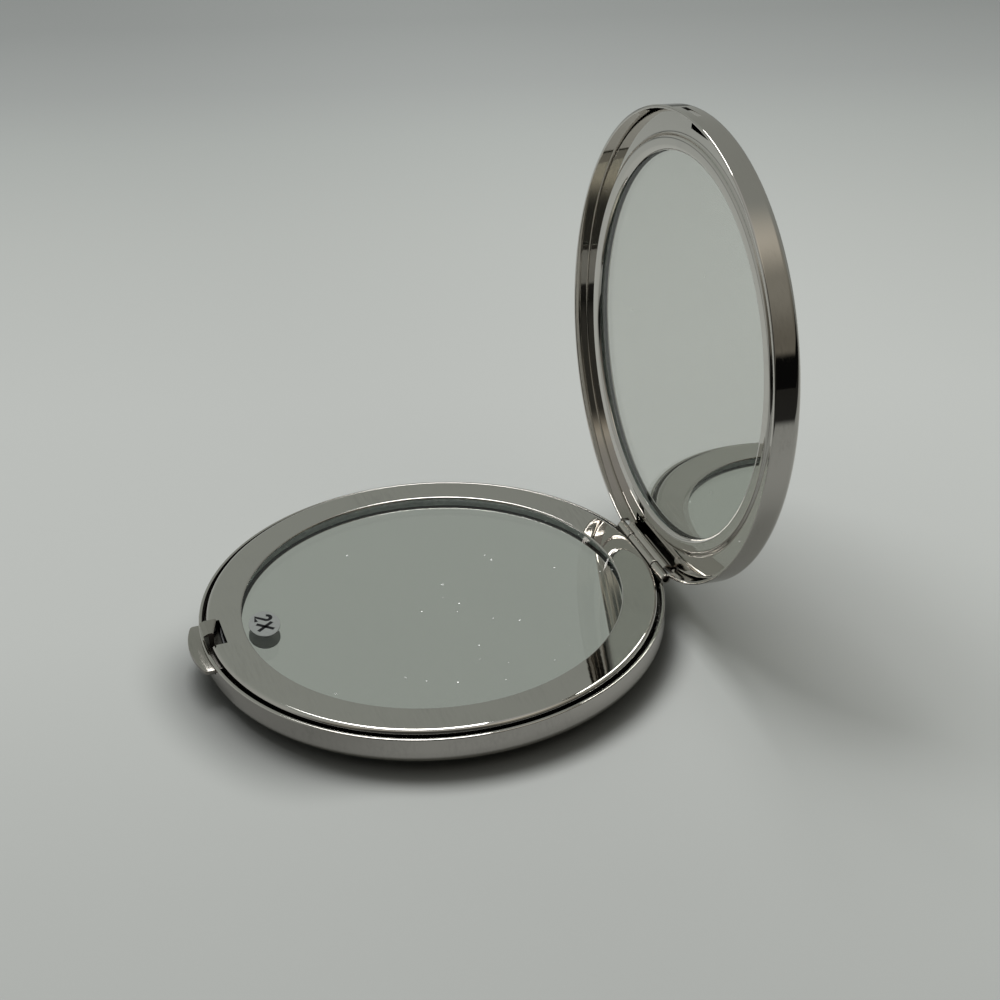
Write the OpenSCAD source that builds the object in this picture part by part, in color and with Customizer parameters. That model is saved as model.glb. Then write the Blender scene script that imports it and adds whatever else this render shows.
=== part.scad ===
// Round compact mirror with a magnifying glass in the base and a plain glass in the lid.
// Millimetres, Z up. The origin is the centre of the underside, on its round panel.
// The hinge is at +Y and the button at -Y.
// Heights are counted from a lip: up out of the base in base_frame(), and out of the lid in lid_frame().

/* [Case] */
// Outside diameter of both shells
case_d = 70; // [60:0.5:90]
// Sheet thickness of both shells
sheet = 0.5; // [0.4:0.05:0.6]
// Height of the base shell's wall, from the flat ring at its foot to its lip
base_h = 4.2; // [4:0.1:6]
// Height of the lid shell's wall, from its lip to the flat ring at its foot
lid_h = 4.2; // [4.1:0.1:6]
// How far each shell's face is pressed out to a round panel inside that ring
face_rise = 1.6; // [0.8:0.1:2]
// Radius of the panel's flat middle
face_panel_r = 24.5; // [20:0.5:26]
// Width of the flat ring, from the case's outside to the panel's shoulder
face_ring_w = 5.2; // [4.6:0.1:6]
// Outside radius of the base shell's bottom corner
base_corner_r = 1.3; // [0.8:0.1:1.4]
// Outside radius of the lid shell's back corner
lid_corner_r = 1.1; // [0.8:0.1:1.3]
// Gap between the two lips when the case is closed
seam_gap = 0.12; // [0.06:0.01:0.3]
// How far the lid stands open, counted from closed
open_angle = 94.7; // [0:0.1:115]

/* [Bezels] */
// Sheet thickness of both bezels
bezel_sheet = 0.3; // [0.2:0.02:0.4]
// Width of the base bezel's flat ring, from its window to its skirt
base_bezel_w = 5.3; // [5:0.1:9]
// How far the base bezel stands above the lip
bezel_rise = 0.63; // [0.4:0.01:0.8]
// Outside radius of the base bezel's rolled edge
bezel_edge_r = 0.65; // [0.45:0.05:0.8]
// Open groove between the base bezel's skirt and the shell wall
bezel_groove = 0.6; // [0.4:0.05:0.7]
// How far below the lip the skirt steps out to the wall
bezel_step_drop = 1.5; // [1.4:0.05:1.7]
// Height of the band that grips the wall
bezel_grip_h = 0.8; // [0.4:0.1:1]
// Width of the lid bezel, from its window to the wall
lid_bezel_w = 5.9; // [5.5:0.1:9]
// How far the lid bezel's flange lies below the lid's lip
lid_flange_drop = 2.1; // [2:0.05:2.3]
// Height of the raised ring above the flange
lid_bead_rise = 0.6; // [0.3:0.05:0.8]
// Width of the slope from the raised ring down to the flange
lid_slope_w = 1.1; // [0.8:0.05:1.4]
// Width of the flat flange outside the slope
lid_flange_w = 3.1; // [2.8:0.1:3.4]
// Radius of the raised ring's inner edge, which rolls down to the glass
lid_roll_r = 0.9; // [0.7:0.05:1]

/* [Glasses] */
// How far each glass reaches under its bezel
glass_lap = 0.7; // [0.4:0.05:0.9]
// Edge thickness of the magnifying glass
base_glass_edge = 2.1; // [1.6:0.05:2.3]
// Radius of the magnifying glass's silvered back
base_glass_back_r = 760; // [500:10:2000]
// Thickness of the plain glass
lid_glass_t = 1.3; // [0.9:0.05:1.35]
// Diameter of the magnification sticker
sticker_d = 4.8; // [3:0.1:7]
// Thickness of the magnification sticker
sticker_t = 0.12; // [0.08:0.01:0.2]
// How far the sticker's centre lies inside the window's edge
sticker_inset = 3.1; // [2.6:0.1:8]
// Turn of the sticker from the button, seen from above
sticker_turn = -3.5; // [-20:0.5:20]

/* [Hinge] */
// How far the hinge axis lies inside the case's outside edge
hinge_inset = 0.6; // [0.5:0.02:0.7]
// Height of the hinge axis above the base's lip
hinge_rise = 0.26; // [0.2:0.01:0.32]
// Outside diameter of the rolled barrel
barrel_d = 1.4; // [1.3:0.02:1.5]
// Diameter of the hinge pin
pin_d = 0.66; // [0.5:0.01:0.74]
// Length of the whole barrel
barrel_l = 16.8; // [15:0.1:18]
// Length of the middle knuckle, on the lid's leaf
middle_l = 9.3; // [6:0.1:11]
// How deep the pin's ends lie inside the barrel
pin_recess = 0.5; // [0.2:0.05:1]
// Width of the lid's leaf
lid_leaf_w = 14.2; // [12:0.1:15]
// Outside radius of the lid leaf's round shoulder
lid_shoulder_r = 1.5; // [1.3:0.02:1.6]
// Length of each leaf's welded foot
leaf_foot_l = 1.6; // [1:0.1:2]

/* [Latch] */
// Width of the button's thumb tab
tab_w = 12.2; // [9:0.1:13]
// How far the tab stands out of the case
tab_out = 2; // [1.2:0.1:3]
// Thickness of the tab and its slide
tab_t = 0.7; // [0.5:0.05:0.8]
// How far the tab's top lies below the lip
tab_drop = 0.45; // [0.4:0.01:0.5]
// Radius of the tab's curved outer edge
tab_bow_r = 15.6; // [12:0.2:30]
// Radius of the tab's two outer corners
tab_corner_r = 0.9; // [0.3:0.1:1.2]
// How far the button travels inward
button_travel = 0.5; // [0.3:0.05:0.5]
// Width of the catch hook
hook_w = 3.5; // [2.5:0.1:4]
// Sideways place of the hook, its notch and its slot
hook_x = -1.6; // [-2.2:0.1:0]
// Thickness of the hook's post
hook_t = 1.8; // [1.4:0.1:1.9]
// Height of the hook's top above the lip
hook_rise = 1.9; // [1.7:0.05:2]
// How far the hook's nose reaches out past its post
hook_nose = 0.75; // [0.6:0.05:0.8]
// Height of the nose's blunt tip
hook_tip_h = 0.2; // [0.1:0.05:0.3]
// Height of the nose, from its underside to the hook's top
hook_nose_h = 0.5; // [0.4:0.05:0.6]
// Length of the catch slot in the lid's wall
catch_slot_w = 5.1; // [4.5:0.1:6]
// Height of the catch slot in the lid's wall
catch_slot_h = 0.8; // [0.7:0.05:0.9]
// How far the catch slot's middle lies below the lid's lip
catch_slot_drop = 1.55; // [1.5:0.05:1.6]
// Width of the notch in the lid's bezel
lid_notch_w = 5.6; // [4:0.1:7]
// Sideways place of the notch in the lid's bezel
lid_notch_x = 0.6; // [0:0.1:1.5]
// Thickness of the bow spring's strip
spring_t = 0.2; // [0.12:0.02:0.24]
// Length of the bow spring, end to end
spring_l = 13.4; // [11:0.1:16]

/* [Hidden] */
$fn = 128;

// Fine facets for the small round pieces, and steps along an arc in a profile
small_fn = 48;
arc_steps = 8;
back_steps = 16;

// Clearances: seated faces, running gaps, the pin in its bore, knuckle ends and cuts
seat_gap = 0.02;
run_gap = 0.12;
pin_gap = 0.03;
knuckle_gap = 0.1;
cut_over = 1;

// Shells
case_r = case_d / 2;
wall_in_r = case_r - sheet;
base_lip_z = face_rise + base_h;
lid_lip_z = base_lip_z + seam_gap;
base_floor_h = sheet - base_h;
lid_floor_h = sheet - lid_h;
face_ring_r = case_r - face_ring_w;
face_shoulder_w = face_ring_r - face_panel_r;
// The panel's shoulder is two equal arcs that meet halfway
face_bend_r = (face_shoulder_w * face_shoulder_w + face_rise * face_rise) / (4 * face_rise);
face_bend_a = 2 * atan2(face_rise, face_shoulder_w);

// Bezels
skirt_r = wall_in_r - bezel_groove;
grip_r = wall_in_r - seat_gap;
base_window_r = skirt_r - base_bezel_w;
window_edge_r = bezel_sheet / 2;
lid_skirt_gap = 0.1;
lid_skirt_r = wall_in_r - lid_skirt_gap;
lid_skirt_h = 0.9;
lid_skirt_corner_r = 0.45;
lid_window_r = lid_skirt_r - lid_bezel_w;
lid_slope_foot_r = lid_skirt_r - lid_flange_w;
lid_slope_top_r = lid_slope_foot_r - lid_slope_w;
lid_bead_h = lid_bead_rise - lid_flange_drop;
// The slope is two equal arcs that meet halfway
lid_slope_r = (lid_slope_w * lid_slope_w + lid_bead_rise * lid_bead_rise) / (4 * lid_bead_rise);
lid_slope_a = 2 * atan2(lid_bead_rise, lid_slope_w);
// The roll stops short of upright, at this angle above level
lid_roll_a = 24;

// Glasses
base_glass_r = base_window_r + glass_lap;
base_glass_top = bezel_rise - bezel_sheet;
base_glass_edge_h = base_glass_top - base_glass_edge;
lid_roll_r_in = lid_roll_r - bezel_sheet;
lid_glass_r = lid_window_r + glass_lap;
lid_glass_top = lid_bead_h - lid_roll_r + lid_roll_r_in * sin(lid_roll_a) - seat_gap;
tape_top = lid_glass_top - lid_glass_t - seat_gap;
pad_inset = 1.3;
pad_r = base_glass_r - pad_inset;
tape_r = lid_glass_r - pad_inset;
sticker_r = sticker_d / 2;
sticker_place_r = base_window_r - sticker_inset;

// Hinge
hinge_y = case_r - hinge_inset;
hinge_z = base_lip_z + hinge_rise;
lid_axis_h = seam_gap - hinge_rise;
barrel_r = barrel_d / 2;
pin_r = pin_d / 2;
bore_r = pin_r + pin_gap;
leaf_t = barrel_r - bore_r;
barrel_x = barrel_l / 2;
middle_x = middle_l / 2;
outer_x = middle_x + knuckle_gap;
roll_slit = 0.1;
barrel_side_gap = 0.2;
wall_notch_x = barrel_x + barrel_side_gap;
base_notch_drop = 1.25;
lid_notch_drop = 1.1;
base_leaf_top = -0.55;
base_web_in = 2.15;
lid_shoulder_drop = 0.55;
lid_shoulder_in = 0.5;
lid_shoulder_y = hinge_y - lid_shoulder_in;
lid_shoulder_h = -(lid_shoulder_drop + lid_shoulder_r);
// The shoulder starts under the barrel on the middle knuckle, and clear of the outer ones
shoulder_start_a = -20;
shoulder_clear_a = 12;
hinge_trim = 0.2;
lid_cutout_side = 0.25;
lid_cutout_in = 0.5;
lid_notch_in = 1;

// Latch
tab_x = tab_w / 2;
tab_top = -tab_drop;
tab_bottom = tab_top - tab_t;
tab_tip_y = -(case_r + tab_out);
slide_in = 3;
slide_end_y = slide_in - case_r;
wing_w = 0.55;
wing_l = 0.9;
wing_r = skirt_r - bezel_sheet - run_gap;
slide_slot_x = tab_x + run_gap;
post_set = 0.2;
hook_in_y = slide_end_y - post_set;
hook_out_y = hook_in_y - hook_t;
notch_side = 1.4;
notch_in = hook_in_y + button_travel + run_gap;
rail_t = 0.35;
spring_x = spring_l / 2;
spring_side_gap = 0.07;
// The rails clear the slide's wings and the spring's ends, whichever reach further
rail_x = max(tab_x + wing_w + run_gap, spring_x + spring_side_gap);
guide_top = tab_bottom - run_gap;
guide_out = 0.7;
guide_in = 1.4;
guide_out_y = slide_end_y - guide_out;
guide_in_y = slide_end_y + guide_in;
guide_foot_w = 1.4;
ear_w = 1.2;
spring_lap = 0.1;
spring_h = tab_t + 2 * spring_lap;
spring_crown_y = slide_end_y + seat_gap;
spring_end_y = guide_in_y - rail_t - seat_gap;
spring_bow = spring_end_y - spring_crown_y;
// Outside radius of the bow through its crown and its two ends
spring_r = (spring_x * spring_x + spring_bow * spring_bow - spring_t * spring_t)
    / (2 * (spring_bow - spring_t));

// Points along an arc
function arc(cx, cy, r, a0, a1, steps) =
    [for (i = [0 : steps]) let (a = a0 + (a1 - a0) * i / steps) [cx + r * cos(a), cy + r * sin(a)]];

// Height of the magnifying glass's back at a radius
function glass_back_h(r) =
    base_glass_edge_h + sqrt(base_glass_back_r * base_glass_back_r - base_glass_r * base_glass_r)
    - sqrt(base_glass_back_r * base_glass_back_r - r * r);

// Points along the magnifying glass's back, from a radius in to the axis
function glass_back(r, drop) =
    [for (i = [0 : back_steps]) let (q = r * (1 - i / back_steps)) [q, glass_back_h(q) - drop]];

// Points along a shell's face, from the axis over the panel's shoulder out to the flat ring,
// whose outside is at zero
function face_line(inset) = concat(
    [[0, inset - face_rise]],
    arc(face_panel_r, face_bend_r - face_rise, face_bend_r - inset, 270, 270 + face_bend_a, arc_steps),
    arc(face_ring_r, -face_bend_r, face_bend_r + inset, 90 + face_bend_a, 90, arc_steps));

// Puts the base's pieces at the height of its lip
module base_frame() {
    translate([0, 0, base_lip_z]) children();
}

// Puts the lid's pieces in the open lid, with heights counted out of the lid
module lid_frame() {
    translate([0, hinge_y, hinge_z]) rotate([-open_angle, 0, 0]) translate([0, -hinge_y, -hinge_z])
        translate([0, 0, lid_lip_z]) mirror([0, 0, 1]) children();
}

// A box centred on X, between two places along Y and two heights
module span_box(half_x, y0, y1, h0, h1) {
    translate([-half_x, y0, h0]) cube([2 * half_x, y1 - y0, h1 - h0]);
}

// Extrudes a section drawn in Y and height along X, between two places
module along_x(x0, x1) {
    translate([x0, 0, 0]) rotate([90, 0, 90]) linear_extrude(x1 - x0) children();
}

// Half section of a block with a rounded bottom corner
module corner_block(r, h, corner_r) {
    translate([0, corner_r]) square([r, h - corner_r]);
    square([r - corner_r, corner_r]);
    translate([r - corner_r, corner_r]) circle(corner_r, $fn = small_fn);
}

// Half section of a block with a rounded bottom corner and a shell's face, moved in by a depth
module face_block(r, h, corner_r, inset) {
    translate([0, inset]) corner_block(r, h, corner_r);
    polygon(concat(face_line(inset), [[face_ring_r, h], [0, h]]));
}

// A drawn cup of sheet metal, with the flat ring of its face at zero and its lip at h
module cup(h, corner_r) {
    rotate_extrude() difference() {
        face_block(case_r, h, corner_r, 0);
        face_block(wall_in_r, h, corner_r - sheet, sheet);
    }
}

// Half section of what fills a shell, from its floor up to a line of points, out to a radius.
// Heights are counted from the lip.
module filler_section(h, r, top) {
    intersection() {
        polygon(concat([for (p = face_line(sheet)) [p[0], p[1] - h]], top));
        translate([0, -(h + face_rise)]) square([r, h + face_rise]);
    }
}

// A rolled knuckle with its bore, drawn round the hinge axis at a height
module knuckle_section(axis_h) {
    translate([hinge_y, axis_h]) difference() {
        circle(barrel_r, $fn = small_fn);
        circle(bore_r, $fn = small_fn);
    }
}

module base_shell() {
    color("silver") difference() {
        base_frame() translate([0, 0, -base_h]) cup(base_h, base_corner_r);
        base_frame() {
            span_box(wall_notch_x, hinge_y - 2 * barrel_r, case_r + cut_over,
                hinge_rise - base_notch_drop, cut_over);
            span_box(slide_slot_x, -(case_r + cut_over), -wall_in_r / 2,
                tab_bottom - run_gap, tab_top + run_gap);
        }
    }
}

// Section of the base bezel: window edge, flat, rolled edge, skirt, step and gripping band
module base_bezel_section() {
    step_h = -bezel_step_drop;
    foot_h = step_h - bezel_sheet - bezel_grip_h;
    edge_x = skirt_r - bezel_edge_r;
    edge_h = bezel_rise - bezel_edge_r;
    polygon(concat(
        [[base_window_r, bezel_rise - bezel_sheet]],
        arc(base_window_r + window_edge_r, bezel_rise - window_edge_r, window_edge_r, 180, 90, arc_steps),
        arc(edge_x, edge_h, bezel_edge_r, 90, 0, arc_steps),
        [[skirt_r, step_h], [grip_r, step_h], [grip_r, foot_h],
         [grip_r - bezel_sheet, foot_h], [grip_r - bezel_sheet, step_h - bezel_sheet],
         [skirt_r - bezel_sheet, step_h - bezel_sheet]],
        arc(edge_x, edge_h, bezel_edge_r - bezel_sheet, 0, 90, arc_steps)
    ));
}

module base_bezel() {
    deep_h = base_floor_h - cut_over;
    color("lightgray") base_frame() difference() {
        rotate_extrude() base_bezel_section();
        // Notch for the hook, open to the outside
        translate([hook_x, 0, 0])
            span_box(hook_w / 2 + notch_side, -(case_r + cut_over), notch_in,
                tab_bottom, bezel_rise + cut_over);
        // Window in the skirt for the slide
        span_box(slide_slot_x, -(case_r + cut_over), -base_window_r,
            tab_bottom - run_gap, tab_top + 2 * run_gap);
        // Room for the barrel
        span_box(wall_notch_x, hinge_y - barrel_r - hinge_trim, case_r + cut_over,
            deep_h, bezel_rise + cut_over);
        // Room for the base's leaf under the flat
        span_box(wall_notch_x, base_window_r, case_r + cut_over, deep_h, base_leaf_top + hinge_trim);
    }
}

module base_mirror() {
    color("lightcyan") base_frame() rotate_extrude() polygon(concat(
        [[0, base_glass_top], [base_glass_r, base_glass_top]], glass_back(base_glass_r, 0)));
}

module base_mirror_pad() {
    color("dimgray") base_frame() rotate_extrude()
        filler_section(base_h, pad_r, glass_back(face_ring_r, seat_gap));
}

module magnification_sticker() {
    color("white") base_frame() rotate([0, 0, sticker_turn])
        translate([0, -sticker_place_r, base_glass_top])
            cylinder(r = sticker_r, h = sticker_t, $fn = small_fn);
}

// Two outer knuckles on necks, a flange under the bezel, and a web down to a foot on the floor
module base_hinge_leaf() {
    neck_out_y = hinge_y - bore_r;
    neck_in_y = hinge_y - barrel_r;
    web_y = neck_out_y - base_web_in;
    flange_h = base_leaf_top - leaf_t;
    color("gainsboro") base_frame() {
        for (side = [-1, 1]) mirror([side < 0 ? 1 : 0, 0, 0]) along_x(outer_x, barrel_x) difference() {
            union() {
                knuckle_section(hinge_rise);
                translate([neck_in_y, flange_h]) square([leaf_t, hinge_rise - flange_h]);
            }
            // Open slit where the end of the rolled sheet comes back to its neck
            translate([neck_out_y, hinge_rise - barrel_r]) square([roll_slit, barrel_r]);
        }
        span_box(barrel_x, web_y - leaf_t, neck_out_y, flange_h, base_leaf_top);
        span_box(barrel_x, web_y - leaf_t, web_y, base_floor_h, base_leaf_top);
        span_box(barrel_x, web_y - leaf_foot_l, web_y, base_floor_h, base_floor_h + leaf_t);
    }
}

module hinge_pin() {
    color("darkgray") base_frame() translate([pin_recess - barrel_x, hinge_y, hinge_rise])
        rotate([0, 90, 0]) cylinder(r = pin_r, h = barrel_l - 2 * pin_recess, $fn = small_fn);
}

// Folded table that carries the slide between two rails, with an ear behind each end of the spring.
// Above its feet it stays inside the bezel's skirt.
module latch_guide() {
    rail_l = guide_in_y - guide_out_y;
    color("gray") base_frame() {
        intersection() {
            translate([0, 0, base_floor_h]) cylinder(r = wing_r, h = tab_top - base_floor_h);
            union() {
                span_box(rail_x + rail_t, guide_out_y, guide_in_y, guide_top - rail_t, guide_top);
                for (side = [-1, 1]) mirror([side < 0 ? 1 : 0, 0, 0]) {
                    translate([rail_x, guide_out_y, base_floor_h])
                        cube([rail_t, rail_l, tab_top - base_floor_h]);
                    translate([rail_x - ear_w, guide_in_y - rail_t, guide_top - rail_t])
                        cube([ear_w, rail_t, tab_top - guide_top + rail_t]);
                }
            }
        }
        for (side = [-1, 1]) mirror([side < 0 ? 1 : 0, 0, 0])
            translate([rail_x, guide_out_y, base_floor_h]) cube([guide_foot_w, rail_l, rail_t]);
    }
}

// A bowed strip that pushes the slide outward from the two ears
module button_spring() {
    spring_low = (tab_top + tab_bottom - spring_h) / 2;
    color("darkgray") base_frame() intersection() {
        translate([0, spring_crown_y + spring_r, spring_low]) difference() {
            cylinder(r = spring_r, h = spring_h);
            translate([0, 0, -cut_over]) cylinder(r = spring_r - spring_t, h = spring_h + 2 * cut_over);
        }
        span_box(spring_x, spring_crown_y - spring_t, spring_end_y, spring_low, spring_low + spring_h);
    }
}

// Outline of the tab and its slide, with a wing at each side that stops it on the bezel's skirt
module slide_outline() {
    offset(r = tab_corner_r, $fn = small_fn) offset(delta = -tab_corner_r) intersection() {
        translate([0, tab_tip_y + tab_bow_r]) circle(tab_bow_r);
        translate([-tab_x, tab_tip_y]) square([tab_w, slide_end_y - tab_tip_y + tab_corner_r]);
    }
}

module button_slide() {
    color("silver") base_frame() {
        intersection() {
            translate([0, 0, tab_bottom]) linear_extrude(tab_t) slide_outline();
            span_box(case_r, tab_tip_y, slide_end_y, tab_bottom, tab_top);
        }
        intersection() {
            translate([0, 0, tab_bottom]) cylinder(r = wing_r, h = tab_t);
            span_box(tab_x + wing_w, slide_end_y - wing_l, slide_end_y, tab_bottom, tab_top);
        }
    }
}

// A post that stands on the slide, with a nose that catches in the lid's wall
module latch_hook() {
    tip_y = hook_out_y - hook_nose;
    nose_low = hook_rise - hook_nose_h;
    color("silver") base_frame() along_x(hook_x - hook_w / 2, hook_x + hook_w / 2) polygon([
        [hook_in_y, tab_top], [hook_in_y, hook_rise], [hook_out_y, hook_rise],
        [tip_y, nose_low + hook_tip_h], [tip_y, nose_low], [hook_out_y, nose_low], [hook_out_y, tab_top]
    ]);
}

module lid_shell() {
    color("silver") difference() {
        lid_frame() translate([0, 0, -lid_h]) cup(lid_h, lid_corner_r);
        lid_frame() {
            span_box(wall_notch_x, hinge_y - 2 * barrel_r, case_r + cut_over,
                lid_axis_h - lid_notch_drop, cut_over);
            translate([hook_x, 0, 0])
                span_box(catch_slot_w / 2, -(case_r + cut_over), -wall_in_r / 2,
                    -(catch_slot_drop + catch_slot_h / 2), catch_slot_h / 2 - catch_slot_drop);
        }
    }
}

// Section of the lid bezel: rolled inner edge, raised ring, slope, flange and skirt
module lid_bezel_section() {
    roll_x = lid_window_r + lid_roll_r * cos(lid_roll_a);
    roll_h = lid_bead_h - lid_roll_r;
    slope_mid_a = 90 - lid_slope_a;
    flange_h = -lid_flange_drop;
    corner_x = lid_skirt_r - lid_skirt_corner_r;
    corner_h = flange_h - lid_skirt_corner_r;
    skirt_foot_h = flange_h - lid_skirt_h;
    polygon(concat(
        arc(roll_x, roll_h, lid_roll_r, 180 - lid_roll_a, 90, arc_steps),
        arc(lid_slope_top_r, lid_bead_h - lid_slope_r, lid_slope_r, 90, slope_mid_a, arc_steps),
        arc(lid_slope_foot_r, flange_h + lid_slope_r, lid_slope_r, 180 + slope_mid_a, 270, arc_steps),
        arc(corner_x, corner_h, lid_skirt_corner_r, 90, 0, arc_steps),
        [[lid_skirt_r, skirt_foot_h], [lid_skirt_r - bezel_sheet, skirt_foot_h]],
        arc(corner_x, corner_h, lid_skirt_corner_r - bezel_sheet, 0, 90, arc_steps),
        arc(lid_slope_foot_r, flange_h + lid_slope_r, lid_slope_r + bezel_sheet,
            270, 180 + slope_mid_a, arc_steps),
        arc(lid_slope_top_r, lid_bead_h - lid_slope_r, lid_slope_r - bezel_sheet, slope_mid_a, 90, arc_steps),
        arc(roll_x, roll_h, lid_roll_r_in, 90, 180 - lid_roll_a, arc_steps)
    ));
}

module lid_bezel() {
    cutout_y = lid_slope_foot_r + lid_cutout_in;
    cut_low = lid_floor_h - cut_over;
    color("lightgray") lid_frame() difference() {
        rotate_extrude() lid_bezel_section();
        span_box(lid_leaf_w / 2 + lid_cutout_side, cutout_y, case_r + cut_over, cut_low, cut_over);
        translate([lid_notch_x, 0, 0])
            span_box(lid_notch_w / 2, -(case_r + cut_over), -(lid_slope_foot_r + lid_notch_in),
                cut_low, cut_over);
    }
}

module lid_mirror() {
    color("lightcyan") lid_frame() translate([0, 0, lid_glass_top - lid_glass_t])
        cylinder(r = lid_glass_r, h = lid_glass_t);
}

module lid_mirror_tape() {
    color("dimgray") lid_frame() rotate_extrude()
        filler_section(lid_h, tape_r, [[face_ring_r, tape_top], [0, tape_top]]);
}

// Section of the lid leaf's round shoulder, from an angle past its top round to its web
module shoulder_section(start_a) {
    reach = 2 * lid_shoulder_r;
    translate([lid_shoulder_y, lid_shoulder_h]) intersection() {
        difference() {
            circle(lid_shoulder_r, $fn = small_fn);
            circle(lid_shoulder_r - leaf_t, $fn = small_fn);
        }
        polygon([[0, 0], [-reach * sin(start_a), reach * cos(start_a)], [-reach, reach], [-reach, 0]]);
    }
}

// Slit on the shoulder's outside, where the end of the rolled sheet comes back to it
module roll_slit_section() {
    slit_w = lid_shoulder_r + lid_shoulder_in - bore_r / 2;
    translate([lid_shoulder_y, lid_shoulder_h]) intersection() {
        circle(lid_shoulder_r + roll_slit, $fn = small_fn);
        translate([-lid_shoulder_r, 0]) square([slit_w, 2 * lid_shoulder_r]);
    }
}

// A middle knuckle, a round shoulder that is wider than it, and a web down to a foot on the floor
module lid_hinge_leaf() {
    web_y = lid_shoulder_y - lid_shoulder_r;
    leaf_x = lid_leaf_w / 2;
    color("gainsboro") lid_frame() {
        along_x(-middle_x, middle_x) difference() {
            union() {
                difference() {
                    knuckle_section(lid_axis_h);
                    roll_slit_section();
                }
                shoulder_section(shoulder_start_a);
            }
            translate([hinge_y, lid_axis_h]) circle(bore_r, $fn = small_fn);
        }
        along_x(-leaf_x, leaf_x) shoulder_section(shoulder_clear_a);
        span_box(leaf_x, web_y, web_y + leaf_t, lid_floor_h, lid_shoulder_h);
        span_box(leaf_x, web_y - leaf_foot_l, web_y + leaf_t, lid_floor_h, lid_floor_h + leaf_t);
    }
}

base_shell();
base_bezel();
base_mirror();
base_mirror_pad();
magnification_sticker();
base_hinge_leaf();
hinge_pin();
latch_guide();
button_spring();
button_slide();
latch_hook();
lid_shell();
lid_bezel();
lid_mirror();
lid_mirror_tape();
lid_hinge_leaf();
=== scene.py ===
"""A round compact mirror, standing open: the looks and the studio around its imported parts.

Sizes are in millimetres until a mesh is done, and then in metres. The origin is the centre of the
underside, on its round panel, the hinge is at +Y and the button at -Y. Heights are counted from a lip:
up out of the base, and out of the lid.
"""

from __future__ import annotations

import logging
import math
from dataclasses import dataclass
from enum import Enum
from functools import reduce
from typing import Callable, Iterable, Sequence

import bmesh
import bpy
from mathutils import Matrix, Vector


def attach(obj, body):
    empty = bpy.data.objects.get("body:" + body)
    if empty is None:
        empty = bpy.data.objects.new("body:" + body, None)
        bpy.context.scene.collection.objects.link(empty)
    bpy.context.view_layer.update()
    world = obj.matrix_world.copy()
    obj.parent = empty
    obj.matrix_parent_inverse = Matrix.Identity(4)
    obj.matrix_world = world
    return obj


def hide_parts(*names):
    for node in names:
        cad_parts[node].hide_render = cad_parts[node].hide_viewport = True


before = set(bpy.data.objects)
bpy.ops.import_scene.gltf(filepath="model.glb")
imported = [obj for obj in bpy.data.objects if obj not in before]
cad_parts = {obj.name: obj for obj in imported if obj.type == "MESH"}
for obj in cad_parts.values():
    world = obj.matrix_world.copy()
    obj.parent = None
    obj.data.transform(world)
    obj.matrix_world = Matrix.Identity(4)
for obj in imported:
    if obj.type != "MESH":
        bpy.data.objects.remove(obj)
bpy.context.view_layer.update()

MM = 0.001
FULL_TURN = 2 * math.pi
SAME_POINT = 1e-4
SAME_VERTEX = 1e-6
NO_LENGTH = 1e-7
FACING = 0.5

Mesh = bmesh.types.BMesh
Piece = bpy.types.Object
Material = bpy.types.Material
Node = bpy.types.Node
Socket = bpy.types.NodeSocket
Point = tuple[float, float]
Span = tuple[float, float]
Place = tuple[float, float, float]
Colour = tuple[float, float, float]

UP = Vector((0, 0, 1))

log = logging.getLogger("compact")


# ---- outlines and meshes


@dataclass(frozen=True)
class Corner:
    """A corner of a closed outline, in millimetres, and the radius that it is rounded to."""

    x: float
    y: float
    r: float = 0.0
    steps: int = 6

    @property
    def at(self) -> Vector:
        """The corner's place."""
        return Vector((self.x, self.y))


def rounded(corners: Sequence[Corner], support: float = 0.04) -> list[Point]:
    """Rounds the corners of a closed outline.

    Args:
        corners: the corners in order.
        support: distance of an extra point beside a rounding, which keeps flat faces flat in the light.

    Returns:
        The points of the rounded outline.
    """
    points: list[Vector] = []
    for i, corner in enumerate(corners):
        tip = corner.at
        if corner.r <= 0:
            points.append(tip)
            continue
        back, ahead = corners[i - 1].at - tip, corners[(i + 1) % len(corners)].at - tip
        to_back, to_ahead = back.normalized(), ahead.normalized()
        half = back.angle(ahead) / 2
        reach = corner.r / math.tan(half)
        centre = tip + (to_back + to_ahead).normalized() * (corner.r / math.sin(half))
        start, end = tip + to_back * reach, tip + to_ahead * reach
        if back.length - reach > 4 * support:
            points.append(start + to_back * support)
        first = math.atan2(start.y - centre.y, start.x - centre.x)
        sweep = math.atan2(end.y - centre.y, end.x - centre.x) - first
        sweep = (sweep + math.pi) % FULL_TURN - math.pi
        for k in range(corner.steps + 1):
            a = first + sweep * k / corner.steps
            points.append(centre + corner.r * Vector((math.cos(a), math.sin(a))))
        if ahead.length - reach > 4 * support:
            points.append(end + to_ahead * support)
    kept: list[Point] = []
    for p in points:
        if not kept or (p - Vector(kept[-1])).length > SAME_POINT:
            kept.append((p.x, p.y))
    return kept


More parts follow.
